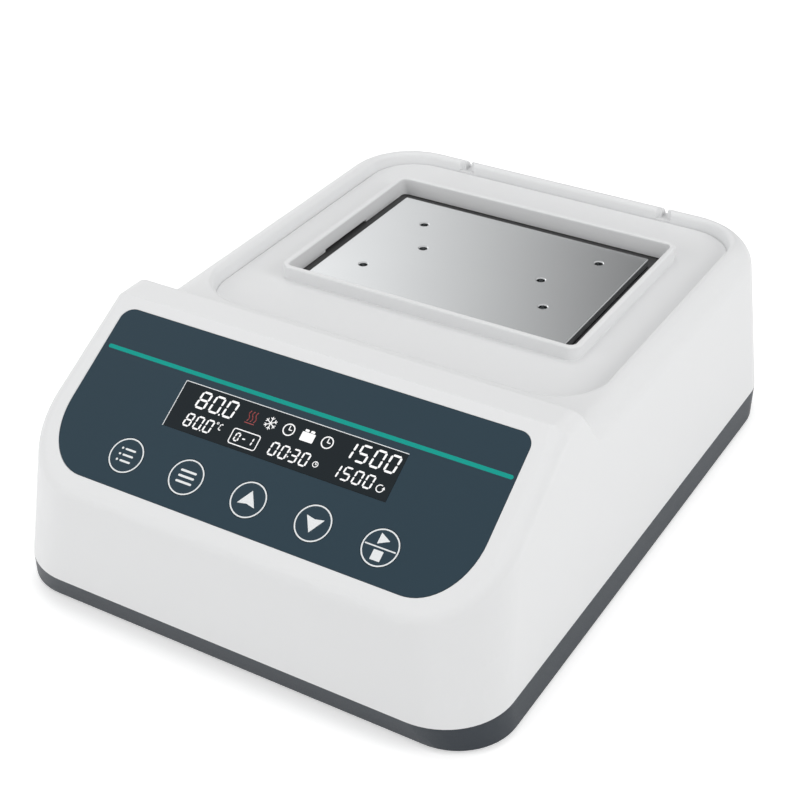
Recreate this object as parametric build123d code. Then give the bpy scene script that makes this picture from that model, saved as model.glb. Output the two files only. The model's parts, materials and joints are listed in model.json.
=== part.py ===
from build123d import *
import math
import os

# Dry bath shaker with a heated plate. Millimetres, +Z up, front towards -Y.
# The origin is the centre of the footprint on the bench.

# Case outline at the joint between the dark base and the white housing
body_width = 226.2
body_depth = 311.5
corner_radius = 30.0
corner_gain = 0.1
side_draft_deg = 4.5
wall = 3.0

# Base tray
foot_drop = 2.0
base_band = 12.8
base_floor = 2.5
base_flare = 1.6
base_undercut = 4.05
base_front_radius = 26.0
base_back_radius = 33.0
base_side = 4.0
base_edge = 0.8
lip_height = 4.0
lip_thick = 1.8
lip_gap = 0.25

# Rear deck with its sunken floor
recess_floor_z = 86.4
deck_floor_thick = 2.2
rim_rise = 6.8
rim_round = 12.0
recess_side_in = 18.1
recess_front_in = 25.2
recess_back_in = 15.25
recess_radius = 24.0
recess_draft_deg = 6.0
recess_edge_round = 2.5
recess_line_width = 0.5
recess_line_deep = 0.4

# Upstanding collar around the shaking plate
collar_side_gap = 7.05
collar_end_gap = 7.95
collar_wall = 2.7
collar_rise = 6.6
collar_corner = 3.0
collar_edge_round = 1.0
collar_foot_round = 0.4
collar_notch_length = 36.7
collar_notch_rise = 1.3
collar_notch_reach = 6.0
collar_notch_shift = -2.3

# Grooves across the rear rim
groove_spacing = 108.0
groove_width = 3.0
groove_flare = 2.6
groove_mouth = 2.5
groove_floor_rise = 0.6
nick_width = 1.2
nick_deep = 0.9
nick_x = 2.0

# Sloping console at the front
panel_tilt_deg = 32.3
key_row_in = 22.62
key_row_z = 72.18
ridge_z = 107.9
ridge_back_in = 93.05
ridge_back_run = 0.7436
console_round = 7.0
ridge_round = 1.6
deck_overlap = 4.0

# Control overlay, measured along and up the slope from the key row
overlay_top = 61.1
overlay_bottom = -14.2
overlay_side_in = 17.0
overlay_spread = 1.35
overlay_top_corner = 6.0
overlay_corner_wide = 23.0
overlay_corner_high = 30.0
corner_fullness = 0.5523
overlay_thick = 0.6
overlay_proud = 0.1
overlay_gap = 0.15

# Display window in the overlay
window_width = 104.1
window_low = 17.24
window_high = 38.17
window_shift = 0.77
window_gap = 0.1
window_ledge = 1.3

# Round keys
key_pitch = 29.66
key_names = ["key_program", "key_menu", "key_up", "key_down", "key_start_stop"]
key_radius = 7.8
key_gap = 0.2
key_flange = 0.9
key_flange_drop = 0.15
key_flange_thick = 0.95
key_flange_gap = 0.5
key_stem_radius = 2.0
key_travel = 0.4
key_end_gap = 0.1

# Control board behind the console face
board_thick = 1.6
control_board_side_in = 29.1
control_board_low = -11.0
control_board_high = 45.0
control_board_sink = 8.0
control_post_radius = 3.5
control_post_inset = 6.0
control_post_low = -6.0
control_post_high = 40.0
switch_body = 6.0
switch_height = 3.5
switch_plunger_radius = 1.7
display_margin_x = 2.0
display_margin_v = 2.6
display_gap = 0.3
control_board_screw_length = 5.5

# Blocks on the control board: middle, low and high edge up the slope, width, height
control_blocks = [(30.0, 20.0, 34.0, 14.0, 1.4), (-8.0, 22.0, 32.0, 9.0, 1.4), (-40.0, 2.0, 8.0, 26.0, 7.0)]
control_cans = [(20.0, 6.0), (30.0, 6.0), (40.0, 6.0)]
control_can_radius = 3.2
control_can_height = 8.0

# Heated plate and what carries it
collar_back_in = 100.25
plate_width = 130.0
plate_depth = 89.7
plate_corner = 0.8
plate_edge = 0.4
plate_proud = 1.5
plate_thick = 8.0
block_hole_radius = 1.9
block_hole_depth = 6.0
block_hole_bevel = 0.45
block_holes = [(46.75, 27.7), (42.5, -21.6), (30.75, 0.0)]
block_hole_shift = 1.5
heater_thick = 1.0
heater_inset = 3.0
insulation_thick = 3.0
insulation_inset = 1.0
carrier_floor = 3.5
carrier_wall = 3.7
carrier_corner = 4.0
carrier_flange_gap = 0.4
carrier_flange_thick = 1.5
carrier_cover = 0.7
plate_gap = 0.3
platform_inset = 3.0
platform_corner = 8.0
platform_thick = 6.0
plate_screw_inset = 6.0
plate_screw_bite = 5.0
probe_radius = 2.2
probe_bite = 4.6
probe_x = 22.0
probe_head_radius = 4.0
probe_head_height = 2.5

# Drive
orbit_radius = 1.5
running_gap = 0.05
fit_gap = 0.02
shaft_radius = 4.0
main_bearing_radius = 11.0
main_bearing_height = 7.0
crank_disc_radius = 16.0
crank_disc_height = 6.0
counterweight_radius = 30.0
counterweight_height = 8.0
counterweight_cut = 3.0
counterweight_clear = 3.5
counterweight_bolt_x = 9.0
counterweight_bolt_y = 7.0
guide_radius = 3.0
guide_bearing_radius = 9.5
guide_bearing_height = 6.0
guide_x = 44.0
guide_y = 24.0
guide_web_radius = 7.0
guide_web_height = 4.0
housing_wall = 3.0
bearing_lip = 1.0
bearing_lip_in = 2.0

# Chassis plate on its pillars
chassis_top_z = 32.5
chassis_thick = 2.5
chassis_side_in = 25.1
chassis_depth = 112.0
chassis_corner = 6.0
pillar_radius = 5.0
pillar_inset = 10.0
chassis_screw_length = 8.0

# Motor
motor_radius = 30.0
motor_height = 24.0
motor_shell = 1.5
motor_boss_radius = 13.0
motor_boss_height = 2.0
winding_inner = 22.5
rotor_radius = 21.5
rotor_height = 14.0
motor_screw_circle = 21.0
motor_screw_bite = 2.0

# Power board
power_board_width = 110.0
power_board_depth = 74.0
power_board_in = 75.75
power_board_z = 14.5
power_post_radius = 3.5
power_post_inset = 5.0
power_board_screw_length = 6.0

# Parts on the power board, placed from its front left corner
transformer_place = (14.0, 22.0)
transformer_size = (34.0, 30.0, 25.0)
transformer_round = 2.0
capacitor_places = [(64.0, 20.0), (64.0, 38.0)]
capacitor_radius = 7.0
capacitor_height = 26.0
heat_sink_place = (80.0, 14.0)
heat_sink_size = (16.0, 46.0, 22.0)
heat_sink_floor = 3.0
heat_sink_fins = 5
heat_sink_fin = 1.6
connector_place = (54.0, 56.0)
connector_size = (20.0, 10.0, 9.0)

# Rear bay and its panel
bay_width = 136.0
bay_height = 48.0
bay_middle_z = 48.0
bay_frame = 4.0
rear_panel_in = 10.25
rear_panel_thick = 2.5
rear_panel_gap = 0.3
rear_screw_inset = 2.0
rear_panel_screw_length = 6.5

# Power inlet with its fuse drawer
inlet_x = -40.0
inlet_z = 49.0
inlet_flange_width = 34.0
inlet_flange_height = 40.0
inlet_flange_thick = 2.2
inlet_body_width = 29.0
inlet_body_height = 35.0
inlet_body_depth = 22.0
socket_width = 24.4
socket_height = 16.4
socket_depth = 15.0
socket_chamfer = 4.5
socket_rise = 6.2
blade_width = 4.0
blade_thick = 2.0
blade_reach = 9.0
blade_pitch = 7.0
blade_rise = 2.0
drawer_width = 25.0
drawer_height = 8.0
drawer_depth = 13.0
drawer_drop = 11.5
drawer_gap = 0.3
fuse_radius = 2.5
fuse_length = 20.0
fuse_cap_length = 5.0

# Rocker switch
switch_x = -8.0
switch_frame_width = 16.0
switch_frame_height = 24.0
switch_frame_thick = 1.8
switch_hole_width = 11.0
switch_hole_height = 18.0
switch_depth = 14.0
rocker_gap = 0.35
rocker_tilt_deg = 9.0
rocker_radius = 9.6
rocker_pivot_in = 3.0

# Fan
fan_x = 40.0
fan_size = 40.0
fan_depth = 10.0
fan_bore = 18.8
fan_hub = 10.5
fan_hub_wall = 1.2
fan_tip = 18.0
fan_blades = 7
fan_blade_thick = 1.1
fan_blade_pitch_deg = 38.0
fan_blade_height = 6.5
fan_pitch = 32.0
fan_strut_width = 2.4
fan_plate_thick = 1.6
fan_axle_radius = 1.5
fan_screw_bite = 7.0
grille_rings = 4
grille_slot = 2.4
grille_rib = 2.0
grille_spoke = 2.4

# Screws and feet
case_screw_side_in = 17.1
case_screw_end_in = 43.75
case_boss_radius = 4.5
case_post_radius = 5.0
case_screw_radius = 1.5
case_screw_length = 16.0
small_screw_radius = 1.25
plate_screw_radius = 2.0
screw_head_height = 2.2
thread_gap = 0.05
hole_gap = 0.2
foot_side_in = 31.1
foot_end_in = 27.75
foot_radius = 9.0
foot_stem_radius = 3.0
foot_stem_gap = 0.15
foot_barb = 1.2

# Places worked out from the sizes above
front_y = -body_depth / 2
back_y = body_depth / 2
base_bottom_width = body_width + 2 * base_flare
base_bottom_depth = body_depth - 2 * base_undercut
key_row_y = front_y + key_row_in
ridge_back_y = front_y + ridge_back_in
collar_y = back_y - collar_back_in
rear_panel_y = back_y - rear_panel_in
power_board_y = front_y + power_board_in
recess_width = body_width - 2 * recess_side_in
recess_front_y = ridge_back_y + recess_front_in
recess_back_y = back_y - recess_back_in
recess_depth = recess_back_y - recess_front_y
overlay_top_half = body_width / 2 - overlay_side_in
control_board_half = body_width / 2 - control_board_side_in
control_post_x = control_board_half - control_post_inset
chassis_width = body_width - 2 * chassis_side_in
pillar_x = chassis_width / 2 - pillar_inset
pillar_y = chassis_depth / 2 - pillar_inset
case_screw_x = body_width / 2 - case_screw_side_in
case_screw_y = body_depth / 2 - case_screw_end_in
foot_x = body_width / 2 - foot_side_in
foot_y = body_depth / 2 - foot_end_in
part_z = foot_drop + base_band
draft = math.tan(math.radians(side_draft_deg))
tilt = math.radians(panel_tilt_deg)
rise, run = math.sin(tilt), math.cos(tilt)
deck_z = recess_floor_z + rim_rise
floor_under_z = recess_floor_z - deck_floor_thick
collar_z = recess_floor_z + collar_rise
base_top_z = foot_drop + base_floor
lip_top_z = part_z + lip_height
plate_z = recess_floor_z + plate_proud
plate_under_z = plate_z - plate_thick
heater_under_z = plate_under_z - heater_thick
insulation_under_z = heater_under_z - insulation_thick
platform_top_z = insulation_under_z - carrier_floor
platform_under_z = platform_top_z - platform_thick
crank_y = collar_y
plate_y = crank_y - orbit_radius
collar_width = plate_width + 2 * collar_side_gap
collar_depth = plate_depth + 2 * collar_end_gap
carrier_width = plate_width + 2 * (plate_gap + carrier_wall)
carrier_depth = plate_depth + 2 * (plate_gap + carrier_wall)
carrier_top_z = floor_under_z - carrier_flange_gap
flange_width = collar_width + 2 * (orbit_radius + carrier_cover)
flange_depth = collar_depth + 2 * (orbit_radius + carrier_cover)
platform_width = plate_width - 2 * platform_inset
platform_depth = plate_depth - 2 * platform_inset
plate_screw_x = platform_width / 2 - plate_screw_inset
plate_screw_y = platform_depth / 2 - plate_screw_inset
chassis_under_z = chassis_top_z - chassis_thick
motor_under_z = chassis_under_z - motor_height
main_bearing_z = chassis_top_z + bearing_lip
main_housing_z = main_bearing_z + main_bearing_height
guide_bearing_z = chassis_top_z + bearing_lip
guide_housing_z = guide_bearing_z + guide_bearing_height
pin_bearing_top_z = platform_top_z - bearing_lip_in
pin_bearing_z = pin_bearing_top_z - main_bearing_height
guide_top_bearing_z = pin_bearing_top_z - guide_bearing_height
crank_disc_z = main_housing_z + counterweight_height / 2 + counterweight_clear
crank_disc_top_z = crank_disc_z + crank_disc_height
guide_web_z = guide_housing_z + 3.0
guide_web_top_z = guide_web_z + guide_web_height
key_drop = overlay_thick - overlay_proud
overlay_seat = -key_drop
key_bottom = overlay_seat - key_flange_drop - key_flange_thick
plunger_top = -control_board_sink + switch_height + 0.5
key_stem_low = plunger_top + key_travel + key_end_gap
panel = Plane(origin=(0, key_row_y, key_row_z), x_dir=(1, 0, 0), z_dir=(0, -rise, run))
nodes = {}


def cylinder_z(radius, low, high, x=0.0, y=0.0):
    return Pos(x, y, low) * Cylinder(radius, high - low, align=(Align.CENTER, Align.CENTER, Align.MIN))


def cylinder_y(radius, low, high, x=0.0, z=0.0):
    turned = Rot(-90, 0, 0) * Cylinder(radius, high - low, align=(Align.CENTER, Align.CENTER, Align.MIN))
    return Pos(x, low, z) * turned


def block(low, high):
    size = [b - a for a, b in zip(low, high)]
    return Pos(*low) * Box(*size, align=(Align.MIN, Align.MIN, Align.MIN))


def rounded_block(width, depth, radius, low, high, x=0.0, y=0.0):
    face = Plane.XY.offset(low) * RectangleRounded(width, depth, radius)
    return Pos(x, y, 0) * extrude(face, high - low)


def corners(x, y, middle_x=0.0, middle_y=0.0):
    return [(middle_x + i * x, middle_y + j * y) for j in (-1, 1) for i in (-1, 1)]


def side_slab(points, half_width):
    # A closed outline in the Y-Z plane, drawn out to both sides
    face = Plane.YZ * make_face(Polyline(*points, close=True).edges())
    return extrude(face, half_width, both=True)


def case_solid(inset, low, high):
    # The drafted case outline between two heights, inset all round, with corners rounder at the top
    faces = []
    for z in (low, high):
        shrink = 2 * (draft * (z - part_z) + inset)
        radius = corner_radius + corner_gain * (z - part_z) - inset
        outline = RectangleRounded(body_width - shrink, body_depth - shrink, radius)
        faces.append(Plane.XY.offset(z) * outline)
    return loft(faces, ruled=True)


def slope_z(y, sink=0.0):
    return key_row_z + (y - key_row_y) * rise / run - sink / run


def slope_y(z, sink=0.0):
    return key_row_y + (z + sink / run - key_row_z) * run / rise


def screw(radius, length, head_radius, head_height):
    # Points up, with the underside of its head at the origin
    head = cylinder_z(head_radius, -head_height, 0)
    head = fillet(head.edges().group_by(Axis.Z)[0], head_height * 0.25)
    recess = Plane.XY.offset(-head_height) * RegularPolygon(radius * 0.8, 6)
    return head + cylinder_z(radius, 0, length) - extrude(recess, head_height * 0.6)


def screws(places, radius, length, head_radius, z, down=False):
    one = screw(radius, length, head_radius, screw_head_height)
    turn = Rot(180, 0, 0) if down else Rot(0, 0, 0)
    return [Pos(x, y, z) * turn * one for x, y in places]


def back_screws(places, radius, length, head_radius, y):
    # Screws that point towards the front, their heads on a plane of the rear panel
    one = Rot(90, 0, 0) * screw(radius, length, head_radius, screw_head_height)
    return [Pos(x, y, z) * one for x, z in places]


def keep(name, shape):
    nodes[name] = Compound(shape) if isinstance(shape, list) else shape


case_screw_places = [(i * case_screw_x, y) for y in (-case_screw_y, 0.0, case_screw_y) for i in (-1, 1)]
foot_places = corners(foot_x, foot_y)
pillar_places = corners(pillar_x, pillar_y, 0.0, crank_y)
power_post_places = corners(
    power_board_width / 2 - power_post_inset, power_board_depth / 2 - power_post_inset, 0.0, power_board_y
)
guide_places = corners(guide_x, guide_y, 0.0, crank_y)
motor_screw_places = [
    (motor_screw_circle * math.cos(a), crank_y + motor_screw_circle * math.sin(a))
    for a in (math.radians(45 + 90 * i) for i in range(4))
]


def base_outline(z, inset):
    # The foot outline of the base, with rounder corners at the back
    width, depth = base_bottom_width - 2 * inset, base_bottom_depth - 2 * inset
    face = Rectangle(width, depth)
    by_row = face.vertices().group_by(Axis.Y)
    face = fillet(by_row[0], base_front_radius - inset)
    face = fillet(face.vertices().sort_by(Axis.Y)[-2:], base_back_radius - inset)
    return Plane.XY.offset(z) * face


# Dark base tray with its lip, posts and screw holes
def make_base():
    outlines = [base_outline(foot_drop, base_edge), base_outline(foot_drop + base_edge, 0)]
    outlines.append(Plane.XY.offset(part_z) * RectangleRounded(body_width, body_depth, corner_radius))
    tray = loft(outlines, ruled=True)
    lip_inset = wall + lip_gap
    inner_inset = lip_inset + lip_thick
    tray += case_solid(lip_inset, part_z - 1, lip_top_z)
    pocket_low = Plane.XY.offset(base_top_z) * RectangleRounded(
        base_bottom_width - 2 * inner_inset - base_side,
        base_bottom_depth - 2 * base_side,
        base_back_radius - base_side,
    )
    shrink = 2 * (inner_inset + draft * (lip_top_z + 1 - part_z))
    pocket_high = Plane.XY.offset(lip_top_z + 1) * RectangleRounded(
        body_width - shrink, body_depth - shrink, corner_radius - inner_inset
    )
    tray -= loft([pocket_low, pocket_high], ruled=True)
    for x, y in case_screw_places:
        tray += cylinder_z(case_post_radius, foot_drop, lip_top_z, x, y)
        tray -= cylinder_z(case_screw_radius + hole_gap, foot_drop, lip_top_z, x, y)
        tray -= cylinder_z(case_screw_radius * 2 + hole_gap, foot_drop, foot_drop + 6.0, x, y)
    for x, y in power_post_places:
        tray += cylinder_z(power_post_radius, base_top_z - 0.5, power_board_z, x, y)
        tray -= cylinder_z(small_screw_radius + thread_gap, base_top_z + 1, power_board_z, x, y)
    for x, y in foot_places:
        tray -= cylinder_z(foot_stem_radius + foot_stem_gap, foot_drop, base_top_z, x, y)
    for x, y in pillar_places:
        tray -= cylinder_z(plate_screw_radius + hole_gap, foot_drop, base_top_z, x, y)
        tray -= cylinder_z(plate_screw_radius * 1.75 + hole_gap, foot_drop, foot_drop + 1.2, x, y)
    return tray


# Console block: front wall, sloping face, flat ridge and the back slope
def make_console():
    foot_y_back = ridge_back_y + ridge_back_run * (ridge_z - recess_floor_z)
    crease_y = slope_y(ridge_z)
    points = [
        (-body_depth, 0), (-body_depth, slope_z(-body_depth)), (crease_y, ridge_z), (ridge_back_y, ridge_z),
        (foot_y_back, recess_floor_z), (foot_y_back, 0),
    ]
    console = case_solid(0, part_z, ridge_z + 5) & side_slab(points, body_width)
    rounded = []
    for point in ((0, key_row_y, key_row_z), (0, (crease_y + ridge_back_y) / 2, ridge_z)):
        face = [f for f in console.faces() if f.distance_to(Vertex(*point)) < 1e-3][0]
        for edge in face.edges():
            middle = edge.center()
            crease = abs(middle.Y - crease_y) < 0.01
            ridge = abs(middle.Y - ridge_back_y) < 0.01
            if not crease and not ridge:
                rounded.append(edge)
    console = fillet(rounded, console_round)
    low_z = (ridge_z + recess_floor_z) / 2
    on_back = Vertex(0, ridge_back_y + ridge_back_run * (ridge_z - low_z), low_z)
    back_face = [f for f in console.faces() if f.distance_to(on_back) < 1e-3][0]
    return fillet([e for e in back_face.edges() if e.center().Z > recess_floor_z + 0.01], ridge_round)


# Rear deck block with a rounded rim
def make_deck():
    start = ridge_back_y + deck_overlap
    deck = case_solid(0, part_z, ridge_z + 5) & block(
        (-body_width, start, 0), (body_width, body_depth, deck_z)
    )
    top = deck.faces().sort_by(Axis.Z)[-1]
    edges = [e for e in top.edges() if e.center().Y > start + 0.01]
    return fillet(edges, rim_round)


def inner_space():
    # The hollow of the housing, one wall inside its outside
    shift = wall * math.hypot(1, ridge_back_run)
    under_ridge = ridge_z - wall
    points = [
        (-body_depth, 0), (-body_depth, slope_z(-body_depth, wall)),
        (slope_y(under_ridge, wall), under_ridge),
        (ridge_back_y - shift + ridge_back_run * wall, under_ridge),
        (ridge_back_y - shift + ridge_back_run * (ridge_z - floor_under_z), floor_under_z),
        (body_depth, floor_under_z), (body_depth, 0),
    ]
    return case_solid(wall, part_z - 1, ridge_z + 5) & side_slab(points, body_width)


def recess_cutter():
    middle_y = (recess_front_y + recess_back_y) / 2
    face = Plane.XY.offset(recess_floor_z) * RectangleRounded(recess_width, recess_depth, recess_radius)
    cutter = extrude(face, rim_rise + 1, taper=-recess_draft_deg)
    # A fine joint line runs round the foot of the rim
    line = rounded_block(
        recess_width, recess_depth, recess_radius, recess_floor_z - recess_line_deep, recess_floor_z
    )
    line -= rounded_block(
        recess_width - 2 * recess_line_width, recess_depth - 2 * recess_line_width,
        recess_radius - recess_line_width, recess_floor_z - recess_line_deep, recess_floor_z,
    )
    return Pos(0, middle_y, 0) * (cutter + line)


def collar_ring():
    outer = rounded_block(
        collar_width + 2 * collar_wall, collar_depth + 2 * collar_wall, collar_corner + collar_wall,
        floor_under_z, collar_z,
    )
    inner = rounded_block(collar_width, collar_depth, collar_corner, floor_under_z, collar_z)
    ring = outer - inner
    return Pos(0, collar_y, 0) * fillet(ring.edges().group_by(Axis.Z)[-1], collar_edge_round)


def groove_cutter(x):
    # A slot with rolled lips, drawn along Y through the rear rim
    half = groove_width / 2
    floor = recess_floor_z + groove_floor_rise
    lip = deck_z - groove_flare
    profile = make_face([
        Line((-half, floor), (-half, lip)),
        RadiusArc((-half, lip), (-half - groove_flare, deck_z), -groove_flare),
        Line((-half - groove_flare, deck_z), (-half - groove_flare, deck_z + 2)),
        Line((-half - groove_flare, deck_z + 2), (half + groove_flare, deck_z + 2)),
        Line((half + groove_flare, deck_z + 2), (half + groove_flare, deck_z)),
        RadiusArc((half + groove_flare, deck_z), (half, lip), -groove_flare),
        Line((half, lip), (half, floor)),
        Line((half, floor), (-half, floor)),
    ])
    start = recess_back_y - 4
    face = Plane(origin=(x, start, 0), x_dir=(1, 0, 0), z_dir=(0, -1, 0)) * profile
    slot = extrude(face, -(body_depth / 2 + 5 - start))
    # Its mouth towards the deck is rounded in plan
    wide, deep = half + groove_mouth, recess_back_y + groove_mouth
    mouth = make_face([
        Line((-wide, recess_back_y), (-wide, start)),
        Line((-wide, start), (wide, start)),
        Line((wide, start), (wide, recess_back_y)),
        RadiusArc((wide, recess_back_y), (half, deep), -groove_mouth),
        Line((half, deep), (-half, deep)),
        RadiusArc((-half, deep), (-wide, recess_back_y), -groove_mouth),
    ])
    return slot + Pos(x, 0, 0) * extrude(Plane.XY.offset(floor) * mouth, deck_z + 2 - floor)


def overlay_outline(grow):
    # Long rounds at the low corners, short ones at the top
    high, low = overlay_top + grow, overlay_bottom - grow
    slant = overlay_spread / (overlay_top - overlay_bottom)
    side_v = low + overlay_corner_high
    top = Vector(overlay_top_half + grow, high)
    side = Vector(overlay_top_half + grow + slant * (high - side_v), side_v)
    corner = Vector(overlay_top_half + grow + slant * (high - low), low)
    foot = Vector(corner.X - overlay_corner_wide, low)
    bow = [side, side + (corner - side) * corner_fullness, foot + (corner - foot) * corner_fullness, foot]
    other = [Vector(-p.X, p.Y) for p in bow]
    face = make_face([
        Line(Vector(-top.X, high), top), Line(top, side), Bezier(*bow), Line(foot, other[3]),
        Bezier(*reversed(other)), Line(other[0], Vector(-top.X, high)),
    ])
    return fillet(face.vertices().sort_by(Axis.Y)[-2:], overlay_top_corner + grow)


def on_slope(face, low, high):
    return extrude(panel.offset(low) * face, high - low)


def disc_on_slope(radius, low, high, x, v=0.0):
    return on_slope(Pos(x, v, 0) * Circle(radius), low, high)


def box_on_slope(width, low_v, high_v, low, high, x=0.0):
    face = Pos(x, (low_v + high_v) / 2, 0) * Rectangle(width, high_v - low_v)
    return on_slope(face, low, high)


key_places = [(i - 2) * key_pitch for i in range(len(key_names))]
control_post_places = [
    (i * control_post_x, v) for v in (control_post_low, control_post_high) for i in (-1, 1)
]
rear_screw_places = corners(
    bay_width / 2 + rear_screw_inset, bay_height / 2 - 6.0, 0.0, bay_middle_z
)


# White upper housing: console, deck, collar, rear bay and screw bosses
def make_housing():
    shell = make_console() + make_deck()
    envelope = case_solid(0, part_z, ridge_z + 5)
    shell -= recess_cutter()
    rim_edges = [
        e for e in shell.edges()
        if e.center().Z > recess_floor_z + rim_rise / 2 and e.center().Z < deck_z + 0.1
        and recess_front_y - 3 < e.center().Y < recess_back_y + 3
        and abs(e.center().X) < recess_width / 2 + 3
    ]
    shell = fillet(rim_edges, recess_edge_round)
    shell -= inner_space()
    bay_low, bay_high = bay_middle_z - bay_height / 2, bay_middle_z + bay_height / 2
    frame_half = bay_width / 2 + bay_frame
    frame = block(
        (-frame_half, rear_panel_y, bay_low - bay_frame), (frame_half, body_depth / 2, bay_high + bay_frame)
    )
    shell += frame & envelope
    shell -= block(
        (-bay_width / 2, rear_panel_y - 1, bay_low), (bay_width / 2, body_depth / 2 + 1, bay_high)
    )
    shell -= Pos(0, collar_y, 0) * rounded_block(
        collar_width, collar_depth, collar_corner, floor_under_z - 1, collar_z + 1
    )
    shell += collar_ring()
    foot = [
        e for e in shell.edges()
        if abs(e.center().Z - recess_floor_z) < 0.01
        and abs(e.center().X) < collar_width / 2 + collar_wall + 0.1
        and abs(e.center().Y - collar_y) < collar_depth / 2 + collar_wall + 0.1
    ]
    shell = fillet(foot, collar_foot_round)
    notch_middle = collar_y + collar_notch_shift
    shell -= block(
        (-collar_width / 2 - collar_notch_reach, notch_middle - collar_notch_length / 2, floor_under_z - 1),
        (-collar_width / 2 + 1, notch_middle + collar_notch_length / 2, floor_under_z + collar_notch_rise),
    )
    for side in (-1, 1):
        shell -= groove_cutter(side * groove_spacing / 2)
    rim_back = body_depth / 2 - draft * (deck_z - part_z)
    shell -= block(
        (nick_x - nick_width / 2, rim_back - rim_round, deck_z - nick_deep),
        (nick_x + nick_width / 2, rim_back + 1, deck_z + 1),
    )
    boss_space = case_solid(wall / 2, part_z, ridge_z + 5) & side_slab(
        [
            (-body_depth, 0), (-body_depth, slope_z(-body_depth, wall / 2)),
            (slope_y(floor_under_z + 1, wall / 2), floor_under_z + 1),
            (body_depth, floor_under_z + 1), (body_depth, 0),
        ],
        body_width,
    )
    for x, y in case_screw_places:
        shell += cylinder_z(case_boss_radius, lip_top_z, ridge_z, x, y) & boss_space
        screw_end_z = lip_top_z + case_screw_length
        shell -= cylinder_z(case_screw_radius + thread_gap, lip_top_z - 1, screw_end_z, x, y)
    shell -= on_slope(overlay_outline(overlay_gap), overlay_seat, 2.0)
    shell -= box_on_slope(
        window_width - 2 * window_ledge, window_low + window_ledge, window_high - window_ledge,
        -wall - 2, 1.0, window_shift,
    )
    for x in key_places:
        shell -= disc_on_slope(key_radius + key_flange + key_flange_gap, -wall - 2, 1.0, x)
    for x, v in control_post_places:
        shell += disc_on_slope(control_post_radius, -control_board_sink, -wall + 0.5, x, v)
        shell -= disc_on_slope(small_screw_radius + thread_gap, -control_board_sink - 1, -wall + 0.2, x, v)
    for x, z in rear_screw_places:
        shell -= cylinder_y(small_screw_radius + thread_gap, rear_panel_y - 1, rear_panel_y + 5, x, z)
    return shell


# Printed overlay with openings for the keys and the window
def make_overlay():
    sheet = on_slope(overlay_outline(0), overlay_seat, overlay_proud)
    sheet -= box_on_slope(
        window_width + 2 * window_gap, window_low - window_gap, window_high + window_gap,
        overlay_seat - 1, 1.0, window_shift,
    )
    for x in key_places:
        sheet -= disc_on_slope(key_radius + key_gap, overlay_seat - 1, 1.0, x)
    return sheet


def make_key(x):
    cap = disc_on_slope(key_radius, overlay_seat - key_flange_drop, overlay_proud, x)
    cap += disc_on_slope(key_radius + key_flange, key_bottom, overlay_seat - key_flange_drop, x)
    return cap + disc_on_slope(key_stem_radius, key_stem_low, key_bottom, x)


def make_tact_switch(x):
    top = -control_board_sink + switch_height
    body = box_on_slope(switch_body, -switch_body / 2, switch_body / 2, -control_board_sink, top, x)
    return body + disc_on_slope(switch_plunger_radius, top, plunger_top, x)


def make_console_parts():
    keep("control_overlay", make_overlay())
    keep("display_window", box_on_slope(
        window_width, window_low, window_high, overlay_seat, overlay_proud - 0.05, window_shift
    ))
    module_low, module_high = window_low - display_margin_v, window_high + display_margin_v
    module_width = window_width + 2 * display_margin_x
    module = box_on_slope(
        module_width, module_low, module_high, -control_board_sink, -wall - display_gap, window_shift
    )
    frame_top = -wall - display_gap
    module -= box_on_slope(
        window_width - 2 * window_ledge, window_low + window_ledge, window_high - window_ledge,
        frame_top - 0.6, frame_top + 1, window_shift,
    )
    keep("display_module", module)
    for name, x in zip(key_names, key_places):
        keep(name, make_key(x))
    keep("key_switches", [make_tact_switch(x) for x in key_places])
    board = box_on_slope(
        2 * control_board_half, control_board_low, control_board_high,
        -control_board_sink - board_thick, -control_board_sink,
    )
    for x, v in control_post_places:
        board -= disc_on_slope(
            small_screw_radius + hole_gap, -control_board_sink - board_thick - 1, 0, x, v
        )
    keep("control_board", board)
    under = -control_board_sink - board_thick
    chips = [
        box_on_slope(width, low, high, under - height, under, x)
        for x, low, high, width, height in control_blocks
    ]
    can_low = under - control_can_height
    chips += [disc_on_slope(control_can_radius, can_low, under, x, v) for x, v in control_cans]
    keep("control_board_parts", chips)
    fixings = []
    for x, v in control_post_places:
        one = screw(
            small_screw_radius, control_board_screw_length, small_screw_radius * 2, screw_head_height
        )
        fixings.append(panel.location * Pos(x, v, under) * one)
    keep("control_board_screws", fixings)


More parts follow.
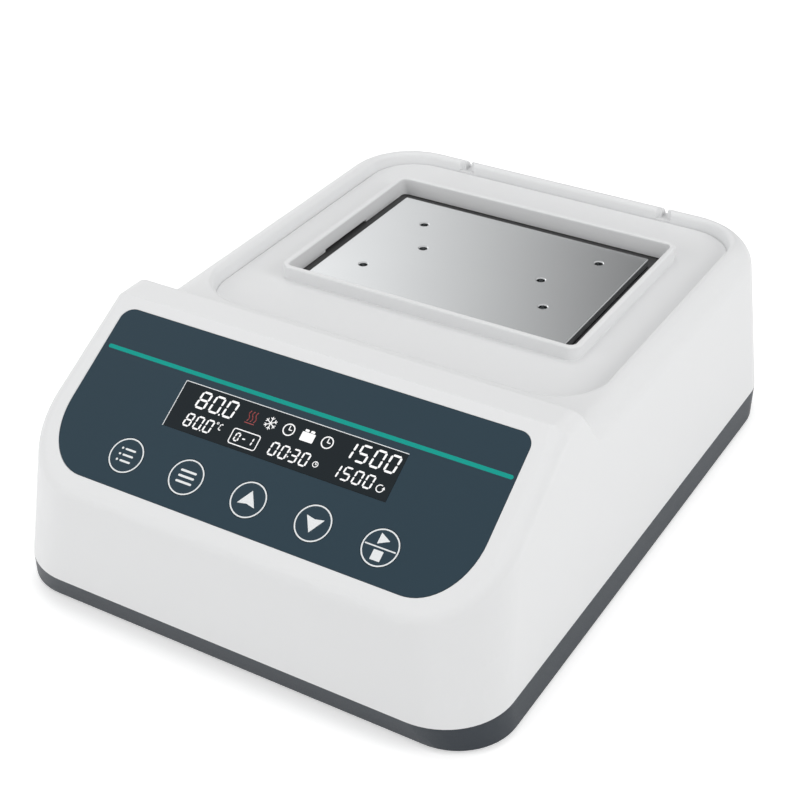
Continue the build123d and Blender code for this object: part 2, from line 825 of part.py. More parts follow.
# Plate stack that shakes: plate, heater, insulation, carrier and platform
def make_plate_stack():
    plate = rounded_block(plate_width, plate_depth, plate_corner, plate_under_z, plate_z)
    plate = chamfer(plate.edges().group_by(Axis.Z)[-1], plate_edge)
    for x, y in block_holes:
        for side in (-1, 1):
            hole_x, hole_y = side * x, side * y + block_hole_shift
            plate -= cylinder_z(block_hole_radius, plate_z - block_hole_depth, plate_z, hole_x, hole_y)
            plate -= Pos(hole_x, hole_y, plate_z - block_hole_bevel / 2) * Cone(
                block_hole_radius, block_hole_radius + block_hole_bevel, block_hole_bevel
            )
    heater = rounded_block(
        plate_width - 2 * heater_inset, plate_depth - 2 * heater_inset, 3, heater_under_z, plate_under_z
    )
    pad = rounded_block(
        plate_width - 2 * insulation_inset, plate_depth - 2 * insulation_inset, 3,
        insulation_under_z, heater_under_z,
    )
    carrier = rounded_block(carrier_width, carrier_depth, carrier_corner, platform_top_z, carrier_top_z)
    carrier += rounded_block(
        flange_width, flange_depth, collar_corner + orbit_radius + carrier_cover,
        carrier_top_z - carrier_flange_thick, carrier_top_z,
    )
    carrier -= rounded_block(
        plate_width + 2 * plate_gap, plate_depth + 2 * plate_gap, plate_corner + plate_gap,
        insulation_under_z, plate_z,
    )
    platform = rounded_block(
        platform_width, platform_depth, platform_corner, platform_under_z, platform_top_z
    )
    housing_low = pin_bearing_z - bearing_lip
    platform += cylinder_z(main_bearing_radius + housing_wall, housing_low, platform_top_z)
    for x, y in corners(guide_x, guide_y):
        platform += cylinder_z(
            guide_bearing_radius + housing_wall, guide_top_bearing_z - bearing_lip, platform_top_z, x, y
        )
    platform -= cylinder_z(main_bearing_radius + fit_gap, housing_low - 1, pin_bearing_top_z)
    for x, y in corners(guide_x, guide_y):
        platform -= cylinder_z(
            guide_bearing_radius + fit_gap, guide_top_bearing_z - bearing_lip - 1, pin_bearing_top_z, x, y
        )
    for x, y in corners(plate_screw_x, plate_screw_y):
        hole = cylinder_z(plate_screw_radius + hole_gap, platform_under_z - 1, plate_under_z, x, y)
        platform -= hole
        carrier -= hole
        pad -= hole
        heater -= hole
        plate -= cylinder_z(
            plate_screw_radius + thread_gap, plate_under_z, plate_under_z + plate_screw_bite, x, y
        )
    probe_hole = cylinder_z(probe_radius + hole_gap, platform_under_z - 1, plate_under_z, probe_x)
    platform -= probe_hole
    carrier -= probe_hole
    pad -= probe_hole
    heater -= probe_hole
    plate -= cylinder_z(
        probe_radius + thread_gap, plate_under_z, plate_under_z + probe_bite + thread_gap, probe_x
    )
    probe = cylinder_z(probe_radius, platform_under_z, plate_under_z + probe_bite, probe_x)
    probe += cylinder_z(probe_head_radius, platform_under_z - probe_head_height, platform_under_z, probe_x)
    place = Pos(0, plate_y, 0)
    keep("heating_plate", place * plate)
    keep("heater_pad", place * heater)
    keep("insulation_pad", place * pad)
    keep("plate_carrier", place * carrier)
    keep("shaker_platform", place * platform)
    keep("temperature_probe", place * probe)
    bite = plate_under_z - platform_under_z + plate_screw_bite - 0.5
    keep("plate_screws", screws(
        corners(plate_screw_x, plate_screw_y, 0.0, plate_y), plate_screw_radius, bite,
        plate_screw_radius * 1.75, platform_under_z,
    ))


def bearing(outer, inner, low, high, x, y):
    ring = cylinder_z(outer, low, high, x, y) - cylinder_z(inner, low, high, x, y)
    middle = (outer + inner) / 2
    track = cylinder_z(middle + 0.9, high - 0.5, high, x, y)
    track -= cylinder_z(middle - 0.9, high - 0.5, high, x, y)
    return ring - track


# Drive: bearings, crank, counterweight and the four guide cranks
def make_drive():
    keep("main_bearing", bearing(
        main_bearing_radius, shaft_radius + running_gap, main_bearing_z, main_housing_z, 0, crank_y
    ))
    keep("pin_bearing", bearing(
        main_bearing_radius, shaft_radius + running_gap, pin_bearing_z, pin_bearing_top_z, 0, plate_y
    ))
    shaft_low = motor_under_z + motor_shell + 0.3
    crank = cylinder_z(shaft_radius, shaft_low, crank_disc_z, 0, crank_y)
    crank += cylinder_z(crank_disc_radius, crank_disc_z, crank_disc_top_z, 0, crank_y)
    crank += cylinder_z(shaft_radius, crank_disc_top_z, pin_bearing_top_z - 0.3, 0, plate_y)
    crank += cylinder_z(
        shaft_radius + 1.5, main_housing_z + 0.3, crank_disc_z, 0, crank_y
    )
    # The weight lies on the far side of the axis from the pin
    half_space = block(
        (-body_width, crank_y + counterweight_cut, 0), (body_width, body_depth, ridge_z)
    )
    bolt_places = [(i * counterweight_bolt_x, crank_y + counterweight_bolt_y) for i in (-1, 1)]
    weight_low = crank_disc_z - counterweight_height / 2
    weight = cylinder_z(counterweight_radius, weight_low, crank_disc_z, 0, crank_y)
    weight &= half_space
    weight -= cylinder_z(shaft_radius + 1.5 + hole_gap, weight_low - 1, crank_disc_z + 1, 0, crank_y)
    outer_block = cylinder_z(counterweight_radius, crank_disc_z, crank_disc_top_z, 0, crank_y)
    outer_block -= cylinder_z(crank_disc_radius + hole_gap, crank_disc_z, crank_disc_top_z, 0, crank_y)
    outer_block &= half_space
    weight += outer_block
    for x, y in bolt_places:
        weight -= cylinder_z(small_screw_radius + hole_gap, weight_low - 1, crank_disc_z, x, y)
        crank -= cylinder_z(small_screw_radius + thread_gap, crank_disc_z, crank_disc_top_z - 1.5, x, y)
    keep("crank_shaft", crank)
    keep("counterweight", weight)
    keep("counterweight_screws", screws(
        bolt_places, small_screw_radius, counterweight_height / 2 + 4, small_screw_radius * 2, weight_low
    ))
    keep("motor_rotor", cylinder_z(
        rotor_radius, motor_under_z + 5, motor_under_z + 5 + rotor_height, 0, crank_y
    ) - cylinder_z(shaft_radius + fit_gap, motor_under_z, chassis_under_z, 0, crank_y))
    for number, (x, y) in enumerate(guide_places, start=1):
        guide = cylinder_z(guide_radius, chassis_top_z + 0.3, guide_web_z, x, y)
        guide += cylinder_z(guide_web_radius, guide_web_z, guide_web_top_z, x, y)
        guide += cylinder_z(guide_radius, guide_web_top_z, pin_bearing_top_z - 0.3, x, y - orbit_radius)
        keep(f"guide_crank_{number}", guide)
    keep("lower_guide_bearings", [
        bearing(guide_bearing_radius, guide_radius + running_gap, guide_bearing_z, guide_housing_z, x, y)
        for x, y in guide_places
    ])
    keep("upper_guide_bearings", [
        bearing(
            guide_bearing_radius, guide_radius + running_gap, guide_top_bearing_z, pin_bearing_top_z,
            x, y - orbit_radius,
        )
        for x, y in guide_places
    ])


# Chassis plate with its bearing housings, on four pillars
def make_chassis():
    plate = rounded_block(
        chassis_width, chassis_depth, chassis_corner, chassis_under_z, chassis_top_z, 0, crank_y
    )
    plate += cylinder_z(main_bearing_radius + housing_wall, chassis_top_z, main_housing_z, 0, crank_y)
    plate -= cylinder_z(motor_boss_radius + hole_gap, chassis_under_z, chassis_top_z - 0.5, 0, crank_y)
    plate -= cylinder_z(main_bearing_radius - bearing_lip_in, chassis_under_z, main_housing_z, 0, crank_y)
    plate -= cylinder_z(main_bearing_radius + fit_gap, main_bearing_z, main_housing_z, 0, crank_y)
    for x, y in guide_places:
        plate += cylinder_z(guide_bearing_radius + housing_wall, chassis_top_z, guide_housing_z, x, y)
        plate -= cylinder_z(guide_bearing_radius - bearing_lip_in, chassis_top_z, guide_housing_z, x, y)
        plate -= cylinder_z(guide_bearing_radius + fit_gap, guide_bearing_z, guide_housing_z, x, y)
    for x, y in pillar_places:
        plate -= cylinder_z(plate_screw_radius + hole_gap, chassis_under_z, chassis_top_z, x, y)
    for x, y in motor_screw_places:
        plate -= cylinder_z(small_screw_radius + hole_gap, chassis_under_z, chassis_top_z, x, y)
    keep("chassis_plate", plate)
    pillars = []
    for x, y in pillar_places:
        pillar = cylinder_z(pillar_radius, base_top_z, chassis_under_z, x, y)
        pillar -= cylinder_z(plate_screw_radius + thread_gap, base_top_z, chassis_under_z, x, y)
        pillars.append(pillar)
    keep("chassis_pillars", pillars)
    keep("chassis_screws", screws(
        pillar_places, plate_screw_radius, chassis_screw_length, plate_screw_radius * 1.75,
        chassis_top_z, down=True,
    ))
    keep("pillar_screws", screws(
        pillar_places, plate_screw_radius, chassis_screw_length, plate_screw_radius * 1.75,
        foot_drop + 1.2,
    ))
    can = cylinder_z(motor_radius, motor_under_z, chassis_under_z, 0, crank_y)
    can -= cylinder_z(
        motor_radius - motor_shell, motor_under_z + motor_shell, chassis_under_z - 2 * motor_shell, 0, crank_y
    )
    boss_top_z = chassis_under_z + motor_boss_height - 0.5
    can += cylinder_z(motor_boss_radius, chassis_under_z, boss_top_z, 0, crank_y)
    can -= cylinder_z(
        shaft_radius + running_gap, chassis_under_z - 3 * motor_shell, chassis_top_z, 0, crank_y
    )
    for x, y in motor_screw_places:
        can -= cylinder_z(small_screw_radius + thread_gap, chassis_under_z - 2.5, chassis_under_z, x, y)
    keep("motor_can", can)
    winding = cylinder_z(
        motor_radius - motor_shell - hole_gap, motor_under_z + 4, motor_under_z + 6 + rotor_height, 0, crank_y
    )
    winding -= cylinder_z(winding_inner, motor_under_z, chassis_under_z, 0, crank_y)
    keep("motor_windings", winding)
    keep("motor_screws", screws(
        motor_screw_places, small_screw_radius, chassis_thick + motor_screw_bite, small_screw_radius * 1.9,
        chassis_top_z, down=True,
    ))


# Feet, case screws and the power board
def make_base_parts():
    feet = []
    for x, y in foot_places:
        foot = cylinder_z(foot_radius, 0, foot_drop, x, y)
        foot = chamfer(foot.edges().group_by(Axis.Z)[0], 0.5)
        foot += cylinder_z(foot_stem_radius, foot_drop, base_top_z + 1.5, x, y)
        foot += Pos(x, y, base_top_z + 0.3) * Cone(
            foot_stem_radius + foot_barb, foot_stem_radius * 0.6, 2.5,
            align=(Align.CENTER, Align.CENTER, Align.MIN),
        )
        feet.append(foot)
    keep("rubber_feet", feet)
    length = lip_top_z - foot_drop - 6.0 + case_screw_length - 4
    keep("case_screws", screws(
        case_screw_places, case_screw_radius, length, case_screw_radius * 1.9, foot_drop + 6.0
    ))
    board_top = power_board_z + board_thick
    board = rounded_block(
        power_board_width, power_board_depth, 3, power_board_z, board_top, 0, power_board_y
    )
    for x, y in power_post_places:
        board -= cylinder_z(small_screw_radius + hole_gap, power_board_z, board_top, x, y)
    keep("power_board", board)
    keep("power_board_screws", screws(
        power_post_places, small_screw_radius, power_board_screw_length, small_screw_radius * 2,
        board_top, down=True,
    ))
    left, front = -power_board_width / 2, power_board_y - power_board_depth / 2

    def on_board(place, size, x_shift=0.0):
        x, y = left + place[0] + x_shift, front + place[1]
        return block((x, y, board_top), (x + size[0], y + size[1], board_top + size[2]))

    transformer = on_board(transformer_place, transformer_size)
    parts = [fillet(transformer.edges().filter_by(Axis.Z), transformer_round)]
    for x, y in capacitor_places:
        can = cylinder_z(capacitor_radius, board_top, board_top + capacitor_height, left + x, front + y)
        parts.append(fillet(can.edges().group_by(Axis.Z)[-1], 1))
    width, depth, height = heat_sink_size
    sink = on_board(heat_sink_place, (width, depth, heat_sink_floor))
    for i in range(heat_sink_fins):
        shift = i * (width - heat_sink_fin) / (heat_sink_fins - 1)
        sink += on_board(heat_sink_place, (heat_sink_fin, depth, height), shift)
    parts.append(sink)
    parts.append(on_board(connector_place, connector_size))
    keep("power_board_parts", parts)


# Rear panel with its grille and the cut-outs for inlet and switch
def make_rear_panel():
    half = bay_width / 2 + bay_frame - 0.2
    half_high = bay_height / 2 + bay_frame - 0.2
    low, high = bay_middle_z - half_high, bay_middle_z + half_high
    inside = rear_panel_y - rear_panel_thick
    panel_plate = block((-half, inside, low), (half, rear_panel_y, high))
    grown = rear_panel_gap
    panel_plate -= block(
        (inlet_x - inlet_body_width / 2 - grown, inside - 1, inlet_z - inlet_body_height / 2 - grown),
        (inlet_x + inlet_body_width / 2 + grown, rear_panel_y + 1, inlet_z + inlet_body_height / 2 + grown),
    )
    body_half = switch_hole_width / 2 + 1.2
    body_rise = switch_hole_height / 2 + 1.2
    panel_plate -= block(
        (switch_x - body_half - grown, inside - 1, inlet_z - body_rise - grown),
        (switch_x + body_half + grown, rear_panel_y + 1, inlet_z + body_rise + grown),
    )
    slots = None
    for i in range(grille_rings):
        outer = fan_bore - 1.0 - i * (grille_slot + grille_rib)
        ring = cylinder_y(outer, inside - 1, rear_panel_y + 1, fan_x, bay_middle_z)
        ring -= cylinder_y(outer - grille_slot, inside - 1, rear_panel_y + 1, fan_x, bay_middle_z)
        slots = ring if slots is None else slots + ring
    for angle in (0, 45, 90, 135):
        bar = Box(2 * fan_size, 4 * rear_panel_thick, grille_spoke)
        slots -= Pos(fan_x, rear_panel_y, bay_middle_z) * Rot(0, angle, 0) * bar
    panel_plate -= slots
    for x, z in corners(fan_pitch / 2, fan_pitch / 2, fan_x, bay_middle_z):
        panel_plate -= cylinder_y(small_screw_radius + hole_gap, inside - 1, rear_panel_y + 1, x, z)
    for x, z in rear_screw_places:
        panel_plate -= cylinder_y(small_screw_radius + hole_gap, inside - 1, rear_panel_y + 1, x, z)
    keep("rear_panel", panel_plate)
    fixings = []
    for x, z in rear_screw_places:
        one = Rot(-90, 0, 0) * screw(
            small_screw_radius, rear_panel_screw_length, small_screw_radius * 1.5, screw_head_height
        )
        fixings.append(Pos(x, inside, z) * one)
    keep("rear_panel_screws", fixings)


# Mains inlet, contact blades, fuse drawer and fuse
def make_inlet():
    mouth = rear_panel_y + inlet_flange_thick
    back = rear_panel_y - inlet_body_depth
    body = block(
        (inlet_x - inlet_flange_width / 2, rear_panel_y, inlet_z - inlet_flange_height / 2),
        (inlet_x + inlet_flange_width / 2, mouth, inlet_z + inlet_flange_height / 2),
    )
    body = fillet(body.edges().filter_by(Axis.Y), 2.5)
    body += block(
        (inlet_x - inlet_body_width / 2, back, inlet_z - inlet_body_height / 2),
        (inlet_x + inlet_body_width / 2, rear_panel_y + 0.5, inlet_z + inlet_body_height / 2),
    )
    socket_z = inlet_z + socket_rise
    half_w, half_h = socket_width / 2, socket_height / 2
    outline = [
        (-half_w, -half_h), (half_w, -half_h), (half_w, half_h - socket_chamfer),
        (half_w - socket_chamfer, half_h), (-half_w + socket_chamfer, half_h),
        (-half_w, half_h - socket_chamfer),
    ]
    face = make_face(Polyline(*outline, close=True).edges())
    mouth_plane = Plane(origin=(inlet_x, mouth, socket_z), x_dir=(1, 0, 0), z_dir=(0, -1, 0))
    body -= extrude(mouth_plane * face, socket_depth)
    drawer_z = inlet_z - drawer_drop
    body -= block(
        (inlet_x - drawer_width / 2, mouth - drawer_depth - drawer_gap, drawer_z - drawer_height / 2),
        (inlet_x + drawer_width / 2, mouth + 1, drawer_z + drawer_height / 2),
    )
    floor_y = mouth - socket_depth
    blades = []
    for i, z in ((-1, -blade_rise), (0, blade_rise), (1, -blade_rise)):
        x = inlet_x + i * blade_pitch
        slot = block(
            (x - blade_thick / 2 - fit_gap, back - 1, socket_z + z - blade_width / 2 - fit_gap),
            (x + blade_thick / 2 + fit_gap, floor_y + 1, socket_z + z + blade_width / 2 + fit_gap),
        )
        body -= slot
        blades.append(block(
            (x - blade_thick / 2, back - 6, socket_z + z - blade_width / 2),
            (x + blade_thick / 2, floor_y + blade_reach, socket_z + z + blade_width / 2),
        ))
    keep("power_inlet", body)
    keep("inlet_blades", blades)
    half_drawer, half_tall = drawer_width / 2 - drawer_gap, drawer_height / 2 - drawer_gap
    drawer = block(
        (inlet_x - half_drawer, mouth - drawer_depth, drawer_z - half_tall),
        (inlet_x + half_drawer, mouth + 0.4, drawer_z + half_tall),
    )
    fuse_y = mouth - drawer_depth + 4.5
    drawer -= block(
        (inlet_x - fuse_length / 2 - 0.3, fuse_y - fuse_radius - 0.3, drawer_z - fuse_radius - 0.02),
        (inlet_x + fuse_length / 2 + 0.3, fuse_y + fuse_radius + 0.3, drawer_z + half_tall + 1),
    )
    drawer -= block(
        (inlet_x - 5, mouth - 0.6, drawer_z - half_tall - 1),
        (inlet_x + 5, mouth + 1, drawer_z - half_tall + 1.6),
    )
    keep("fuse_drawer", drawer)
    along = Pos(inlet_x - fuse_length / 2, fuse_y, drawer_z) * Rot(0, 90, 0)
    align = (Align.CENTER, Align.CENTER, Align.MIN)
    tube = along * Pos(0, 0, fuse_cap_length) * Cylinder(
        fuse_radius - 0.2, fuse_length - 2 * fuse_cap_length, align=align
    )
    keep("fuse_tube", tube)
    keep("fuse_caps", [
        along * Pos(0, 0, z) * Cylinder(fuse_radius, fuse_cap_length, align=align)
        for z in (0, fuse_length - fuse_cap_length)
    ])


# Rocker switch in its frame
def make_switch():
    front = rear_panel_y + switch_frame_thick
    frame = block(
        (switch_x - switch_frame_width / 2, rear_panel_y, inlet_z - switch_frame_height / 2),
        (switch_x + switch_frame_width / 2, front, inlet_z + switch_frame_height / 2),
    )
    frame = fillet(frame.edges().filter_by(Axis.Y), 2)
    side, tall = switch_hole_width / 2 + 1.2, switch_hole_height / 2 + 1.2
    frame += block(
        (switch_x - side, rear_panel_y - switch_depth, inlet_z - tall),
        (switch_x + side, rear_panel_y + 0.5, inlet_z + tall),
    )
    frame -= block(
        (switch_x - side + 1.2, rear_panel_y - switch_depth + 1.5, inlet_z - tall + 1.2),
        (switch_x + side - 1.2, front + 1, inlet_z + tall - 1.2),
    )
    pivot_y = front - rocker_pivot_in
    pin_radius = 1.5
    for i in (-1, 1):
        hole = Pos(switch_x + i * side, pivot_y, inlet_z) * Rot(0, 90, 0)
        frame -= hole * Cylinder(pin_radius + running_gap, 2 * side - 1)
    keep("switch_frame", frame)
    half = switch_hole_width / 2 - rocker_gap
    reach = switch_hole_height / 2 - rocker_gap
    disc = Pos(switch_x, pivot_y, inlet_z) * Rot(0, 90, 0) * Cylinder(rocker_radius, 2 * half)
    rocker = disc & block(
        (switch_x - half, pivot_y - 3.5, inlet_z - reach + 0.6),
        (switch_x + half, pivot_y + 5, inlet_z + reach - 0.6),
    )
    dish = Pos(switch_x, pivot_y + 15.5, inlet_z) * Rot(0, 90, 0) * Cylinder(12.0, 3 * half)
    rocker -= dish
    rocker += Pos(switch_x, pivot_y, inlet_z) * Rot(0, 90, 0) * Cylinder(pin_radius, 2 * side - 0.6)
    axis = Axis((switch_x, pivot_y, inlet_z), (1, 0, 0))
    keep("switch_rocker", rocker.rotate(axis, -rocker_tilt_deg))


# Fan frame, its rotor and the screws through the rear panel
def make_fan():
    back = rear_panel_y - rear_panel_thick
    front = back - fan_depth
    middle = (fan_x, bay_middle_z)
    frame = block(
        (fan_x - fan_size / 2, front, bay_middle_z - fan_size / 2),
        (fan_x + fan_size / 2, back, bay_middle_z + fan_size / 2),
    )
    frame = fillet(frame.edges().filter_by(Axis.Y), 3)
    frame -= cylinder_y(fan_bore, front, back, *middle)
    struts = cylinder_y(fan_hub, front, front + fan_plate_thick, *middle)
    for angle in (30, 150, 270):
        arm = Pos(fan_size / 4, 0, 0) * Box(fan_size / 2, fan_plate_thick, fan_strut_width)
        struts += Pos(fan_x, front + fan_plate_thick / 2, bay_middle_z) * Rot(0, angle, 0) * arm
    struts &= cylinder_y(fan_bore + 0.5, front, back, *middle)
    frame += struts
    axle_end = back - 1.2
    frame -= cylinder_y(fan_axle_radius + running_gap, front + 0.6, axle_end, *middle)
    for x, z in corners(fan_pitch / 2, fan_pitch / 2, *middle):
        frame -= cylinder_y(small_screw_radius + thread_gap, front - 1, back + 1, x, z)
    keep("fan_frame", frame)
    hub_low = front + fan_plate_thick + 0.4
    hub_high = back - 0.6
    hub = cylinder_y(fan_hub, hub_low, hub_high, *middle)
    hub -= cylinder_y(fan_hub - fan_hub_wall, hub_low, hub_high - fan_hub_wall, *middle)
    hub += cylinder_y(fan_axle_radius, front + 0.9, hub_high - 0.5, *middle)
    length = fan_tip - fan_hub + 1.0
    middle_y = (hub_low + hub_high) / 2
    limit = cylinder_y(fan_tip, hub_low + 0.1, hub_high - 0.1, *middle)
    limit -= cylinder_y(fan_hub - fan_hub_wall / 2, hub_low, hub_high, *middle)
    for i in range(fan_blades):
        blade = Pos(fan_hub - 0.8 + length / 2, 0, 0) * Rot(fan_blade_pitch_deg, 0, 0) * Box(
            length, fan_blade_thick, 1.6 * fan_blade_height
        )
        turned = Pos(fan_x, middle_y, bay_middle_z) * Rot(0, i * 360 / fan_blades, 0) * blade
        hub += turned & limit
    keep("fan_rotor", hub)
    keep("fan_screws", back_screws(
        corners(fan_pitch / 2, fan_pitch / 2, *middle), small_screw_radius, rear_panel_thick + fan_screw_bite,
        small_screw_radius * 1.8, rear_panel_y,
    ))


keep("base_tray", make_base())
keep("upper_housing", make_housing())
make_console_parts()
make_plate_stack()
make_drive()
make_chassis()
make_base_parts()
make_rear_panel()
make_inlet()
make_switch()
make_fan()

os.makedirs("parts", exist_ok=True)
for node_name, shape in nodes.items():
    export_step(shape, f"parts/{node_name}.step")
print(len(nodes), "nodes written")
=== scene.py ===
import json
import math

import bmesh
import bpy
import numpy as np
from mathutils import Matrix, Vector


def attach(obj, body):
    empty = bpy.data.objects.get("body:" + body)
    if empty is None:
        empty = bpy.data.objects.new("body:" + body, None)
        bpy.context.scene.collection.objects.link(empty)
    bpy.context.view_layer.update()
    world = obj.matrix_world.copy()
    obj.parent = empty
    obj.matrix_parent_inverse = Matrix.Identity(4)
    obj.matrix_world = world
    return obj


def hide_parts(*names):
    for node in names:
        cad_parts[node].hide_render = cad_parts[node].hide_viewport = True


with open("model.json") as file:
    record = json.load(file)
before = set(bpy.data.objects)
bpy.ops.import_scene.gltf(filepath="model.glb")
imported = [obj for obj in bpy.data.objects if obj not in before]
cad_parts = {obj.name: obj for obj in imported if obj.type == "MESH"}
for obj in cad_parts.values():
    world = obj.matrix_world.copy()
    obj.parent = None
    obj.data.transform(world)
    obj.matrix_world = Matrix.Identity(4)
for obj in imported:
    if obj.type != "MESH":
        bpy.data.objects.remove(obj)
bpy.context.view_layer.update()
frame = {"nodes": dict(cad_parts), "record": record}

mm = 0.001
nodes = frame["nodes"]
scene = bpy.context.scene
print("frame loaded:", len(nodes), "nodes")


# Shader helpers. addNode makes one node and links or sets each of its inputs
def addNode(tree, kind, inputs=None, **settings):
    node = tree.nodes.new("ShaderNode" + kind)
    for key, value in settings.items():
        setattr(node, key, value)
    for key, value in (inputs or {}).items():
        socket = node.inputs[key]
        if isinstance(value, bpy.types.NodeSocket):
            tree.links.new(value, socket)
        else:
            socket.default_value = value
    return node


def newMaterial(name, finish):
    material = bpy.data.materials.new(name)
    material.use_nodes = True
    tree = material.node_tree
    shader = tree.nodes["Principled BSDF"]
    for key, value in finish.items():
        shader.inputs[key].default_value = value
    return material, tree, shader


def objectCoordinates(tree, scale=(1, 1, 1)):
    place = addNode(tree, "TexCoord")
    return addNode(tree, "Mapping", {"Vector": place.outputs["Object"], "Scale": scale}).outputs[0]


def noise(tree, vector, scale, detail=2.0, rough=0.5):
    wanted = {"Vector": vector, "Scale": scale, "Detail": detail, "Roughness": rough}
    return addNode(tree, "TexNoise", wanted).outputs["Fac"]


def remap(tree, value, fromMin, fromMax, toMin, toMax):
    # Straight line from (fromMin, toMin) to (fromMax, toMax), held at both ends
    wanted = {"Value": value, "From Min": fromMin, "From Max": fromMax, "To Min": toMin, "To Max": toMax}
    return addNode(tree, "MapRange", wanted).outputs[0]


def combine(tree, operation, first, second):
    return addNode(tree, "Math", {0: first, 1: second}, operation=operation).outputs[0]


def spread(tree, value, low, high):
    # Noise lies mostly between 0.3 and 0.7; that part is stretched to the range low to high
    return remap(tree, value, 0.3, 0.7, low, high)


def tint(tree, value, dark, pale):
    # In a colour mix, socket 0 is the factor, 6 and 7 are the two colours, and output 2 is the result
    node = tree.nodes.new("ShaderNodeMix")
    node.data_type = "RGBA"
    tree.links.new(value, node.inputs[0])
    node.inputs[6].default_value = (*dark, 1)
    node.inputs[7].default_value = (*pale, 1)
    return node.outputs[2]


def bump(tree, height, depth):
    return addNode(tree, "Bump", {"Height": height, "Distance": depth}).outputs[0]


# Moulded plastic: a fine spark-eroded grain, a faint cloud in the colour and in the gloss
def mouldedPlastic(name, look):
    material, tree, shader = newMaterial(name, {"IOR": look.get("ior", 1.46)})
    place = objectCoordinates(tree)
    color = np.array(look["color"])
    cloud = noise(tree, place, 22.0, 3.0)
    pale, dark = color * (1 + look["mottle"]), color * (1 - look["mottle"])
    tree.links.new(tint(tree, cloud, dark, pale), shader.inputs["Base Color"])
    grain = noise(tree, place, look["grainScale"], 2.0, 0.6)
    rough = look["roughness"]
    tree.links.new(spread(tree, grain, rough - 0.04, rough + 0.05), shader.inputs["Roughness"])
    tree.links.new(bump(tree, grain, look["grainDepth"]), shader.inputs["Normal"])
    return material


# Metal: turning or blasting marks as stretched noise, with a cloud in the gloss
def workedMetal(name, look):
    material, tree, shader = newMaterial(name, {"Metallic": 1.0})
    place = objectCoordinates(tree, look.get("stretch", (1, 1, 1)))
    plain = objectCoordinates(tree)
    marks = noise(tree, place, look["markScale"], 3.0, 0.65)
    cloud = noise(tree, plain, 30.0, 3.0)
    color = np.array(look["color"])
    tree.links.new(tint(tree, marks, color * 0.95, color * 1.04), shader.inputs["Base Color"])
    rough, change = look["roughness"], look.get("cloud", 0.05)
    tree.links.new(spread(tree, cloud, rough - change, rough + change), shader.inputs["Roughness"])
    tree.links.new(bump(tree, marks, look["markDepth"]), shader.inputs["Normal"])
    return material


# Lit characters: their own colour, the same from every side, with a trace of unevenness
def litInk(name, look):
    material, tree, shader = newMaterial(name, {"Roughness": 0.35, "Emission Strength": look["glow"]})
    place = objectCoordinates(tree)
    color = np.array(look["color"])
    cloud = noise(tree, place, 220.0, 2.0)
    shade = tint(tree, cloud, color * 0.94, color * 1.03)
    tree.links.new(shade, shader.inputs["Base Color"])
    tree.links.new(shade, shader.inputs["Emission Color"])
    return material


plastics = {
    "whiteShell": {"color": (0.785, 0.790, 0.795), "roughness": 0.42, "mottle": 0.006,
                   "grainScale": 2600.0, "grainDepth": 0.000012},
    "darkBase": {"color": (0.011, 0.018, 0.027), "roughness": 0.46, "mottle": 0.05,
                 "grainScale": 2200.0, "grainDepth": 0.00002},
    "overlayFilm": {"color": (0.011, 0.034, 0.052), "roughness": 0.40, "mottle": 0.02,
                    "grainScale": 3200.0, "grainDepth": 0.000006},
    "keyCap": {"color": (0.011, 0.034, 0.052), "roughness": 0.42, "mottle": 0.03,
               "grainScale": 2800.0, "grainDepth": 0.000008},
    "smokedWindow": {"color": (0.003, 0.0085, 0.0125), "roughness": 0.12, "ior": 1.38, "mottle": 0.03,
                     "grainScale": 900.0, "grainDepth": 0.0000015},
    "carrierBlack": {"color": (0.057, 0.057, 0.058), "roughness": 0.55, "mottle": 0.06,
                     "grainScale": 1800.0, "grainDepth": 0.00002},
    "footRubber": {"color": (0.022, 0.022, 0.022), "roughness": 0.75, "mottle": 0.12,
                   "grainScale": 1200.0, "grainDepth": 0.00004},
    "rearPlate": {"color": (0.040, 0.044, 0.050), "roughness": 0.5, "mottle": 0.05,
                  "grainScale": 1900.0, "grainDepth": 0.000025},
    "blackMoulding": {"color": (0.022, 0.022, 0.023), "roughness": 0.38, "mottle": 0.05,
                      "grainScale": 2400.0, "grainDepth": 0.00001},
    "greenBoard": {"color": (0.012, 0.11, 0.05), "roughness": 0.35, "mottle": 0.15,
                   "grainScale": 500.0, "grainDepth": 0.00002},
    "componentBody": {"color": (0.06, 0.06, 0.065), "roughness": 0.45, "mottle": 0.1,
                      "grainScale": 1500.0, "grainDepth": 0.00002},
    "siliconeFoam": {"color": (0.50, 0.48, 0.43), "roughness": 0.8, "mottle": 0.1,
                     "grainScale": 700.0, "grainDepth": 0.0001},
    "heaterMat": {"color": (0.38, 0.13, 0.04), "roughness": 0.6, "mottle": 0.1,
                  "grainScale": 900.0, "grainDepth": 0.00006},
    "rockerRed": {"color": (0.42, 0.022, 0.016), "roughness": 0.24, "mottle": 0.04,
                  "grainScale": 900.0, "grainDepth": 0.000004},
    "stripeInk": {"color": (0.008, 0.325, 0.270), "roughness": 0.4, "ior": 1.22, "mottle": 0.03,
                  "grainScale": 2600.0, "grainDepth": 0.000004},
    "paleInk": {"color": (0.80, 0.82, 0.83), "roughness": 0.42, "mottle": 0.02,
                "grainScale": 2600.0, "grainDepth": 0.000004},
}
